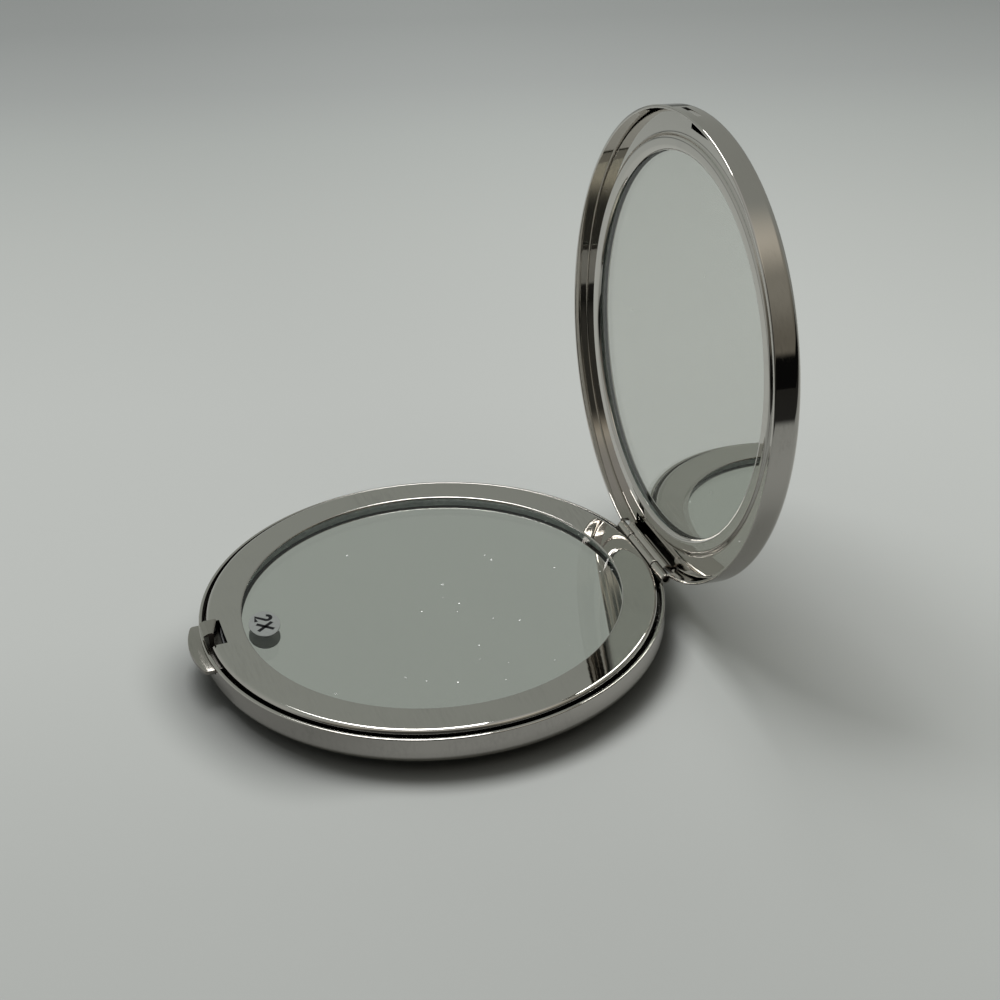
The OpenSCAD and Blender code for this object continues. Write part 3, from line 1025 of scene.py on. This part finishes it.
@dataclass
class LidHalf:
    """The lid: its shell, bezel, plain glass and foam tape."""

    case: Case
    finishes: Finishes
    notch_h: float = -1.1
    window_r: float = 28.5
    roll_r: float = 0.9
    roll_angle: float = 24.0
    bead_h: float = -1.5
    flange_h: float = -2.1
    slope_top: float = 30.2
    slope_foot: float = 31.3
    skirt_r: float = 34.4
    skirt_corner: float = 0.45
    skirt_h: float = 0.9
    bezel_sheet: float = 0.3
    glass_r: float = 29.2
    glass_t: float = 1.3
    glass_gap: float = 0.02
    slot_x: Span = (-4.15, 0.95)
    slot_h: Span = (-1.95, -1.15)
    leaf_cut_x: Span = (-7.35, 7.35)
    leaf_cut_y: float = 31.8
    latch_cut_x: Span = (-2.2, 3.4)
    latch_cut_y: float = -32.3

    def build(self) -> None:
        """Builds the lid's pieces in order."""
        self.seat = self.case.lid_seat(self.finishes)
        self.shell()
        self.bezel()
        self.glass()
        self.finishes.dress_node("lid_mirror_tape", Finish.TAPE)

    def shell(self) -> None:
        """The drawn shell, with its hinge notch and the catch's slot."""
        case = self.case
        cuts = [
            case.hinge_notch(case.seam - case.hinge_rise + self.notch_h),
            block(self.slot_x, (-case.beyond, -case.inner / 2), self.slot_h),
        ]
        bm = combine(case.cup(case.lid_h, case.lid_corner), cuts, Together.CUT)
        self.seat.put(bm, "lid_shell_drawn", (Finish.SHELL,), "shell_metal", "lid_shell")

    def bezel(self) -> None:
        """The ring with its flange, slope, raised ring and rolled inner edge."""
        t = self.bezel_sheet
        rise, width = self.bead_h - self.flange_h, self.slope_foot - self.slope_top
        bend = (width * width + rise * rise) / (4 * rise)
        turn = 2 * math.atan2(rise, width)
        tangent = bend * math.tan(turn / 2)
        shift = t * math.tan(turn / 2)
        roll = math.radians(self.roll_angle)
        centre_x = self.window_r + self.roll_r * math.cos(roll)
        centre_h = self.bead_h - self.roll_r
        inner_r = self.roll_r - t
        corner_tan = math.tan((math.pi / 2 - roll) / 2)
        foot = self.flange_h - self.skirt_h
        outline = rounded(
            [
                Corner(self.window_r, centre_h + self.roll_r * math.sin(roll)),
                Corner(centre_x - self.roll_r * corner_tan, self.bead_h, self.roll_r * 0.999, 10),
                Corner(self.slope_top + tangent, self.bead_h, bend, 8),
                Corner(self.slope_foot - tangent, self.flange_h, bend, 8),
                Corner(self.skirt_r, self.flange_h, self.skirt_corner, 8),
                Corner(self.skirt_r, foot),
                Corner(self.skirt_r - t, foot),
                Corner(self.skirt_r - t, self.flange_h - t, self.skirt_corner - t, 3),
                Corner(self.slope_foot - tangent - shift, self.flange_h - t, bend + t, 4),
                Corner(self.slope_top + tangent - shift, self.bead_h - t, bend - t, 4),
                Corner(centre_x - inner_r * corner_tan, self.bead_h - t, inner_r * 0.999, 6),
                Corner(centre_x - inner_r * math.cos(roll), centre_h + inner_r * math.sin(roll)),
            ],
            0.03,
        )
        case = self.case
        heights = (-case.lid_h, case.above)
        cuts = [
            block(self.leaf_cut_x, (self.leaf_cut_y, case.beyond), heights),
            block(self.latch_cut_x, (-case.beyond, self.latch_cut_y), heights),
        ]
        bm = combine(lathe(outline, case.segments), cuts, Together.CUT)
        dress, front = (Finish.BEZEL, Finish.PAINTED_SHADE), self.seat.front
        piece = self.seat.put(bm, "lid_bezel_ring", dress, "bezel_metal", "lid_bezel")
        # Painted shade on the underside, which lies against the glass
        repaint(piece, 1, lambda at, way: way.dot(front) < -FACING)

    def glass(self) -> None:
        """The plain glass: a clear front over a silvered back."""
        lip = (self.roll_r - self.bezel_sheet) * math.sin(math.radians(self.roll_angle))
        top = self.bead_h - self.roll_r + lip - self.glass_gap
        low, r = top - self.glass_t, self.glass_r
        bm = lathe([(0.0, top), (r, top), (r, low), (0.0, low)], self.case.segments)
        dress = (Finish.GLASS, Finish.SILVER_LID, Finish.EDGE)
        piece = self.seat.put(bm, "plain_glass", dress, "plain_glass", "lid_mirror", 20.0)
        silver_back(piece, self.seat.front)


# ---- the hinge


def arc(centre: Point, radius: float, start: float, end: float, steps: int = 20) -> list[Point]:
    """Points along an arc, between two angles in degrees."""
    turns = [math.radians(start + (end - start) * k / steps) for k in range(steps + 1)]
    return [(centre[0] + radius * math.cos(a), centre[1] + radius * math.sin(a)) for a in turns]


@dataclass
class Hinge:
    """The rolled barrel with its three knuckles, the pin, and the lid leaf's round shoulder."""

    case: Case
    finishes: Finishes
    sheet: float = 0.28
    middle: Span = (-3.9, 4.7)
    ends: Span = (-8.3, 9.0)
    gap: float = 0.24
    end_round: float = 0.07
    pin_r: float = 0.36
    recess: float = 1.6
    neck_h: Span = (-0.85, 0.1)
    shoulder: Point = (1.1, 0.26)
    shoulder_r: float = 0.93
    shoulder_arc: Point = (158.0, 30.0)
    leaf_x: Span = (-6.6, 7.1)
    web_end: float = 3.5
    clearance: float = 0.1
    segments: int = 48

    def build(self) -> None:
        """Builds the hinge's pieces in order."""
        self.base = self.case.base_seat(self.finishes)
        self.base_leaf()
        self.pin()
        self.lid_leaf()

    def on_axis(self, outline: Sequence[Point]) -> Mesh:
        """Turns an outline round the hinge's axis.

        Args:
            outline: its points, as radius and place along X.

        Returns:
            A closed mesh in millimetres.
        """
        bm = lathe(outline, self.segments)
        axis = Matrix.Translation((0, self.case.hinge_y, self.case.hinge_rise))
        bm.transform(axis @ Matrix.Rotation(math.pi / 2, 4, "Y"))
        return bm

    def rod(self, radius: float, x0: float, x1: float) -> Mesh:
        """A plain rod on the hinge's axis."""
        return self.on_axis([(0.0, x0), (radius, x0), (radius, x1), (0.0, x1)])

    def knuckle(self, x0: float, x1: float) -> Mesh:
        """A rolled knuckle with softened ends.

        Args:
            x0: where it starts along the hinge.
            x1: where it ends.

        Returns:
            A closed mesh in millimetres.
        """
        r, bore, end = self.case.barrel_r, self.case.barrel_r - self.sheet, self.end_round
        corners = [Corner(bore, x0), Corner(r, x0, end, 3), Corner(r, x1, end, 3), Corner(bore, x1)]
        return self.on_axis(rounded(corners, 0.02))

    def base_leaf(self) -> None:
        """The base's two outer knuckles, with the necks that go down under the bezel."""
        y = self.case.hinge_y - self.case.barrel_r
        spans = (self.ends[0], self.middle[0] - self.gap), (self.middle[1] + self.gap, self.ends[1])
        necks = [block(span, (y, y + self.sheet), self.neck_h) for span in spans]
        near, far = (self.knuckle(*span) for span in spans)
        bm = combine(near, [far, *necks], Together.JOIN)
        self.base.put(bm, "outer_knuckles", (Finish.HINGE,), "hinge_metal", "base_hinge_leaf")

    def pin(self) -> None:
        """The pin, whose ends lie deep in the barrel."""
        bm = self.rod(self.pin_r, self.ends[0] + self.recess, self.ends[1] - self.recess)
        self.base.put(bm, "recessed_pin", (Finish.RAW,), "spring_steel", "hinge_pin")

    def lid_leaf(self) -> None:
        """The middle knuckle, and the sheet that rises from it over a round shoulder into the lid."""
        y, z, t = self.case.hinge_y, self.case.hinge_rise, self.sheet
        centre = (y + self.shoulder[0], z + self.shoulder[1])
        outer = arc(centre, self.shoulder_r, *self.shoulder_arc)
        inner = arc(centre, self.shoulder_r - t, *self.shoulder_arc)
        web_top = outer[-1][1]
        foot = [(y + self.web_end, web_top), (y + self.web_end, web_top - t)]
        sheet = along_x([*outer, *foot, *reversed(inner)], self.leaf_x)
        clear_r = self.case.barrel_r + self.clearance
        clear = [
            self.rod(clear_r, self.ends[0] - 1, self.middle[0]),
            self.rod(clear_r, self.middle[1], self.ends[1] + 1),
        ]
        bm = combine(combine(sheet, clear, Together.CUT), [self.knuckle(*self.middle)], Together.JOIN)
        # It is drawn from the base's lip, but it rides on the lid
        seat = self.case.base_seat(self.finishes, "lid")
        seat.put(bm, "shouldered_leaf", (Finish.HINGE,), "hinge_metal", "lid_hinge_leaf")


# ---- the latch


@dataclass
class Latch:
    """The push button with its hook, and the guide and spring inside."""

    case: Case
    finishes: Finishes
    tab_half: float = 6.1
    tab_tip: float = -37.0
    tab_bow: float = 15.6
    tab_corner: float = 0.675
    tab_edge: float = 0.12
    bow_share: float = 0.86
    bow_steps: int = 24
    slide_end: float = -32.0
    wing_x: float = 6.65
    wing_r: float = 33.48
    wing_l: float = 0.9
    hook_x: Span = (-3.35, 0.15)
    hook_in: float = -32.2
    hook_out: float = -34.0
    hook_tip: float = -34.75
    hook_top: float = 1.9
    hook_nose: float = 0.5
    nose_face: float = 0.2
    slant: float = 1.1
    slant_start: float = -33.5
    sheared: float = 0.7

    def build(self) -> None:
        """Builds the latch's pieces in order."""
        self.seat = self.case.base_seat(self.finishes, "button")
        self.slide()
        self.hook()
        self.finishes.dress_node("latch_guide", Finish.SPRING)
        self.finishes.dress_node("button_spring", Finish.SPRING)

    def slide(self) -> None:
        """The thumb tab with its bowed edge, its slide and its two wings."""
        half, bow_r, corner = self.tab_half, self.tab_bow, self.tab_corner
        side_y = self.tab_tip + bow_r - math.sqrt(bow_r**2 - half**2)
        last = math.asin(half / bow_r) * self.bow_share
        turns = [-last + 2 * last * k / self.bow_steps for k in range(self.bow_steps + 1)]
        wing_out = max(-math.sqrt(self.wing_r**2 - self.wing_x**2), self.slide_end - self.wing_l)
        outline = rounded(
            [
                Corner(-half, side_y, corner, 6),
                *(Corner(bow_r * math.sin(a), self.tab_tip + bow_r * (1 - math.cos(a))) for a in turns),
                Corner(half, side_y, corner, 6),
                Corner(half, wing_out),
                Corner(self.wing_x, wing_out),
                Corner(self.wing_x, self.slide_end),
                Corner(-self.wing_x, self.slide_end),
                Corner(-self.wing_x, wing_out),
                Corner(-half, wing_out),
            ]
        )
        bm = soften(upward(outline, self.case.tab), self.tab_edge, 3, 50.0)
        # The part inside the wall lies in the dark: it gets a painted shade
        inside = -self.case.inner
        bmesh.ops.bisect_plane(
            bm, geom=[*bm.verts, *bm.edges, *bm.faces], plane_co=(0, inside, 0), plane_no=(0, 1, 0)
        )
        dress = (Finish.BUTTON, Finish.PAINTED_SHADE)
        piece = self.seat.put(bm, "thumb_tab", dress, "button_metal", "button_slide", 60.0)
        repaint(piece, 1, lambda at, way: at.y > inside)

    def hook(self) -> None:
        """The catch hook: a bright folded top with rough sheared sides."""
        low, slide_top = self.hook_top - self.hook_nose, self.case.tab[1]
        outline = rounded(
            [
                Corner(self.hook_in, slide_top),
                Corner(self.hook_in, self.hook_top, 0.3, 5),
                Corner(self.hook_out, self.hook_top, 0.12, 3),
                Corner(self.hook_tip, low + self.nose_face, 0.08, 3),
                Corner(self.hook_tip, low, 0.05, 2),
                Corner(self.hook_out, low, 0.1, 3),
                Corner(self.hook_out, slide_top),
            ],
            0.02,
        )
        bm = along_x(outline, self.hook_x)
        # Its inner side is cut at a slant
        start, end = self.hook_x
        for vert in bm.verts:
            if vert.co.y > self.slant_start:
                vert.co.y -= self.slant * (vert.co.x - start) / (end - start)
        dress = (Finish.BUTTON, Finish.RAW)
        piece = self.seat.put(bm, "catch_hook", dress, "button_metal", "latch_hook", 40.0)
        repaint(piece, 1, lambda at, way: abs(way.x) > self.sheared)


# ---- the studio


@dataclass(frozen=True)
class Lamp:
    """A soft rectangular lamp that faces the origin, with its place and size in millimetres."""

    name: str
    place: Place
    size: Point
    watts: float
    in_metal: bool

    def hang(self) -> None:
        """Adds the lamp to the scene."""
        data = bpy.data.lights.new(self.name, "AREA")
        data.shape, data.energy = "RECTANGLE", self.watts
        data.size, data.size_y = (side * MM for side in self.size)
        made = linked(self.name, data)
        made.location = Vector(self.place) * MM
        made.rotation_euler = (-Vector(self.place)).to_track_quat("-Z", "Y").to_euler()
        made.visible_glossy = self.in_metal


@dataclass
class Studio:
    """A pale floor, soft light from above and the camera at the photograph's angle."""

    azimuth: float = 71.69
    elevation: float = 30.28
    roll: float = -1.84
    target: Place = (-23.422, 19.015, 5.8)
    distance: float = 293.7
    lens: float = 64.263
    sensor: float = 36.0
    floor_half: float = 3000.0
    floor_slant: float = -0.33
    floor_dark: Colour = (0.02, 0.02, 0.02)
    # The floor's tones by depth; their fall-off towards the back is painted shade
    floor_tones: tuple[tuple[float, Colour], ...] = (
        (-360.0, (0.316, 0.33, 0.328)),
        (-290.0, (0.362, 0.377, 0.374)),
        (-240.0, (0.42, 0.44, 0.43)),
        (-170.0, (0.487, 0.505, 0.492)),
        (-80.0, (0.557, 0.574, 0.562)),
        (0.0, (0.585, 0.603, 0.59)),
        (60.0, (0.557, 0.575, 0.563)),
    )
    lamps: tuple[Lamp, ...] = (
        Lamp("overhead", (-270.0, 30.0, 580.0), (220.0, 330.0), 1.75, in_metal=True),
        Lamp("fill", (-270.0, -175.0, 580.0), (200.0, 330.0), 1.3, in_metal=False),
    )

    def build(self) -> None:
        """Builds the camera, the floor, the world and the lamps."""
        self.camera()
        self.floor()
        self.world()
        for lamp in self.lamps:
            lamp.hang()
        bpy.context.scene.view_settings.view_transform = "Standard"

    def camera(self) -> None:
        """The camera, from the photograph's solved view."""
        az, el, roll = (math.radians(v) for v in (self.azimuth, self.elevation, self.roll))
        forward = Vector((-math.sin(az) * math.cos(el), math.cos(az) * math.cos(el), -math.sin(el)))
        right = forward.cross(UP).normalized()
        up = right.cross(forward)
        turned = (right * math.cos(roll) + up * math.sin(roll), up * math.cos(roll) - right * math.sin(roll))
        data = bpy.data.cameras.new("camera")
        data.lens, data.sensor_width, data.sensor_height = self.lens, self.sensor, self.sensor
        data.sensor_fit = "HORIZONTAL"
        data.clip_start, data.clip_end = 0.01, 50.0
        made = linked("camera", data)
        axes = Matrix((turned[0], turned[1], -forward)).transposed().to_4x4()
        made.matrix_world = Matrix.Translation((Vector(self.target) - forward * self.distance) * MM) @ axes
        bpy.context.scene.camera = made

    def floor(self) -> None:
        """The pale floor, whose tone falls off towards the back as the light on the real sweep does: a painted
        shade.
        """
        half = self.floor_half * MM
        bm = bmesh.new()
        signs = ((-1, -1), (1, -1), (1, 1), (-1, 1))
        bm.faces.new([bm.verts.new((i * half, j * half, 0.0)) for i, j in signs])
        piece = as_object(bm, "floor")
        material, g, shader = new_material("pale_floor")
        where = g.here()
        x, y, _ = g.add("ShaderNodeSeparateXYZ", Vector=where).outputs
        far = g.add("ShaderNodeVectorMath", operation="LENGTH", Vector=where).outputs["Value"]
        glossy = g.add("ShaderNodeLightPath").outputs["Is Glossy Ray"]
        first, last = self.floor_tones[0][0], self.floor_tones[-1][0]
        depth = g.calc("MULTIPLY_ADD", y, self.floor_slant, x)
        share = g.fill(g.add("ShaderNodeMapRange", clamp=True), depth, first * MM, last * MM, 0.0, 1.0)
        tones = g.add("ShaderNodeValToRGB", Fac=share)
        while len(tones.color_ramp.elements) < len(self.floor_tones):
            tones.color_ramp.elements.new(0.5)
        for element, (at, tone) in zip(tones.color_ramp.elements, self.floor_tones):
            element.position = (at - first) / (last - first)
            element.color = (*tone, 1.0)
        # The table ends in front of the case; beyond it, metal's reflections see the floor painted dark
        beyond = g.times(g.ramp(x, 0.16, 0.20), glossy)
        # Close to the rim, metal's reflections see a painted shade on the table, deepest at the button's side
        close = g.times(g.ramp(far, 0.075, 0.05), g.ramp(x, -0.03, 0.005))
        least = g.ramp(y, 0.005, 0.03, 0.36, 0.22)
        deep = g.calc("MULTIPLY_ADD", g.ramp(y, -0.012, -0.034), 0.25, least)
        front = g.times(g.ramp(x, -0.005, 0.04), 0.28)
        near = g.times(g.calc("MAXIMUM", g.times(close, deep), front), glossy)
        # A painted contact shade by the rim, which reaches further out at the button's side and isn't mirrored
        reach = g.ramp(y, -0.015, -0.036, 0.0405, 0.047)
        contact = g.times(g.ramp(far, reach, 0.0345), g.ramp(x, -0.02, 0.005))
        contact = g.times(contact, g.calc("MULTIPLY_ADD", glossy, -0.65, 0.65))
        # Painted shade: the floor is a little darker on the button's side
        colour = g.blend(g.ramp(y, -0.01, 0.12, 0.14, 0.0), tones.outputs[0], (0.0, 0.0, 0.0))
        for shade in (contact, near, beyond):
            colour = g.blend(shade, colour, self.floor_dark)
        g.set(shader, Base_Color=colour, Roughness=0.75, Specular_IOR_Level=0.2)
        piece.data.materials.append(material)

    def world(self) -> None:
        """The room: pale behind the case, dim and warm above the camera, dark near the horizon there."""
        world = bpy.data.worlds.new("room")
        bpy.context.scene.world = world
        world.use_nodes = True
        world.node_tree.nodes.clear()
        g = Graph(world.node_tree)
        way = g.add("ShaderNodeTexCoord").outputs["Generated"]
        x, y, z = g.add("ShaderNodeSeparateXYZ", Vector=way).outputs
        # Pale sweep behind, a little darker to the right, under a bright ceiling
        sweep = g.blend(g.ramp(z, 0.0, 0.5), (0.42, 0.44, 0.42), (0.33, 0.357, 0.33))
        sweep = g.blend(g.ramp(y, -0.3, 0.75), sweep, (0.28, 0.29, 0.27))
        sweep = g.blend(g.ramp(y, -0.95, -0.15), (0.41, 0.42, 0.40), sweep)
        # In front the warm room falls away to a dark band at the table's height
        room = (0.004, 0.004, 0.004)
        for low, high, tone in (
            (0.20, 0.25, (0.155, 0.145, 0.12)),
            (0.32, 0.62, (0.26, 0.25, 0.215)),
            (0.66, 0.86, (0.68, 0.64, 0.55)),
        ):
            room = g.blend(g.ramp(z, low, high), room, tone)
        light = g.blend(g.ramp(x, -0.05, 0.4), sweep, room)
        light = g.blend(g.ramp(z, 0.84, 0.97), light, (0.45, 0.45, 0.44))
        # The camera stands in its own dark shape
        toward = g.add("ShaderNodeVectorMath", operation="DOT_PRODUCT")
        g.fill(toward, way, (0.80, -0.30, 0.50))
        light = g.blend(g.ramp(toward.outputs["Value"], 0.80, 0.93), light, (0.055, 0.055, 0.05))
        seen = g.add("ShaderNodeBackground", Color=(0.30, 0.32, 0.31), Strength=1.0).outputs[0]
        lit = g.add("ShaderNodeBackground", Color=light, Strength=1.0).outputs[0]
        camera_ray = g.add("ShaderNodeLightPath").outputs["Is Camera Ray"]
        mixed = g.fill(g.add("ShaderNodeMixShader"), camera_ray, lit, seen)
        g.add("ShaderNodeOutputWorld", Surface=mixed)


def main() -> None:
    """Builds the studio and the compact, and reports each piece."""
    logging.basicConfig(level=logging.INFO, format="%(name)s: %(message)s")
    case, finishes = Case(), Finishes()
    Studio().build()
    for sub_assembly in (BaseHalf, LidHalf, Hinge, Latch):
        sub_assembly(case, finishes).build()


if __name__ == "__main__":
    main()
